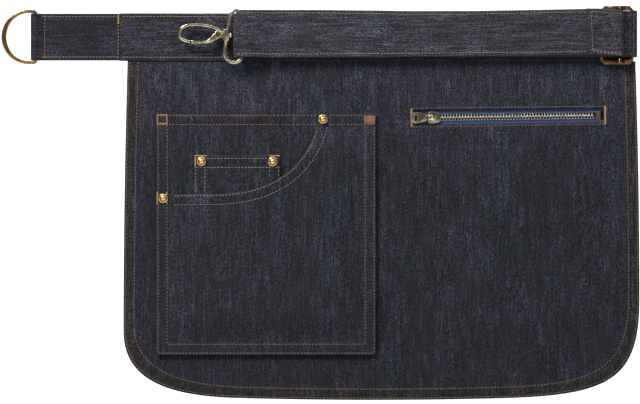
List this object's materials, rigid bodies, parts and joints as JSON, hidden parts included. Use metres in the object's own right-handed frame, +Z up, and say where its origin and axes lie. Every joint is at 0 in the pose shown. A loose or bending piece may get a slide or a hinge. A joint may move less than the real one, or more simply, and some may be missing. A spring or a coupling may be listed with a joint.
{
  "type": "denim waist apron",
  "caption": "Denim waist apron with a curved-mouth patch pocket, coin pocket, zipped pocket, D-ring tab and folded adjustable belt with a swivel snap hook.",
  "frame": {"origin": "middle of the waistband's back face, which lies against the wearer's waist", "axes": "+Z up as worn, the front faces -Y, the belt's fold is at +X and the D-ring at -X"},
  "size_m": [0.5427, 0.0178, 0.335],
  "materials": {
    "denim": "dark indigo raw denim, warp-faced twill",
    "lining": "plain dark cotton lining",
    "zip_tape": "woven blue tape",
    "antique_brass": "antique brass, satin",
    "pale_brass": "pale antique brass, polished edges",
    "copper_bronze": "copper bronze, satin",
    "rivet_brass": "brass, polished",
    "zip_brass": "brass, satin",
    "steel_wire": "spring wire"
  },
  "bodies": {
    "apron": {"apron_panel": "denim", "waistband": "denim", "pocket_facing": "denim", "pocket_front_panel": "denim", "coin_pocket": "denim", "rivet_cap_mouth_left": "rivet_brass", "rivet_cap_mouth_top": "rivet_brass", "rivet_cap_coin_left": "rivet_brass", "rivet_cap_coin_right": "rivet_brass", "rivet_nail_mouth_left": "rivet_brass", "rivet_nail_mouth_top": "rivet_brass", "rivet_nail_coin_left": "rivet_brass", "rivet_nail_coin_right": "rivet_brass", "zip_tape_upper": "zip_tape", "zip_tape_lower": "zip_tape", "zip_teeth_upper": "zip_brass", "zip_teeth_lower": "zip_brass", "zip_bottom_stop": "zip_brass", "zip_top_stop_upper": "zip_brass", "zip_top_stop_lower": "zip_brass", "zip_pocket_bag": "lining", "d_ring_tab": "denim", "strap_turn": "denim"},
    "d_ring": {"d_ring": "antique_brass"},
    "belt": {"strap_return_run": "denim", "strap_hook_fold": "denim", "strap_front_run": "denim", "strap_sewn_end": "denim", "strap_slider": "copper_bronze"},
    "hook_ring": {"hook_ring": "pale_brass"},
    "snap_hook": {"hook_body": "pale_brass", "hook_gate_pin": "antique_brass"},
    "hook_gate": {"hook_gate": "pale_brass", "hook_gate_spring": "steel_wire"},
    "zip_slider": {"zip_slider": "zip_brass"},
    "zip_pull": {"zip_pull": "zip_brass"}
  },
  "joints": [
    {"name": "d_ring_swing", "type": "hinge", "parent": "apron", "child": "d_ring", "pos_m": [-0.29445, -0.0039, 0], "axis": [0, 0, 1], "range_deg": [-150, 150]},
    {"name": "belt_unfold", "type": "hinge", "parent": "apron", "child": "belt", "pos_m": [0.2131, -0.00605, 0], "axis": [0, 0, 1], "range_deg": [0, 165], "deforming": ["strap_turn"]},
    {"name": "hook_ring_swing", "type": "hinge", "parent": "belt", "child": "hook_ring", "pos_m": [-0.1191, -0.012, 0], "axis": [0, 0, 1], "range_deg": [0, 100]},
    {"name": "hook_swivel", "type": "hinge", "parent": "hook_ring", "child": "snap_hook", "pos_m": [-0.132, -0.012, 0.0011], "axis": [1, 0, 0], "range_deg": [-28, 28]},
    {"name": "gate_open", "type": "hinge", "parent": "snap_hook", "child": "hook_gate", "pos_m": [-0.1389, -0.012, 0.0016], "axis": [0, 1, 0], "range_deg": [0, 22], "stiffness_Nm_per_rad": 0.05, "springref_deg": -20.05, "deforming": ["hook_gate_spring"]},
    {"name": "zip_slide", "type": "slide", "parent": "apron", "child": "zip_slider", "axis": [0.9999, 0, 0.0131], "range_m": [0, 0.131], "deforming": ["zip_teeth_upper", "zip_teeth_lower", "zip_tape_upper", "zip_tape_lower"]},
    {"name": "zip_pull_flip", "type": "hinge", "parent": "zip_slider", "child": "zip_pull", "pos_m": [0.04321, -0.005, -0.06845], "axis": [-0.0131, 0, 0.9999], "range_deg": [0, 165]}
  ]
}
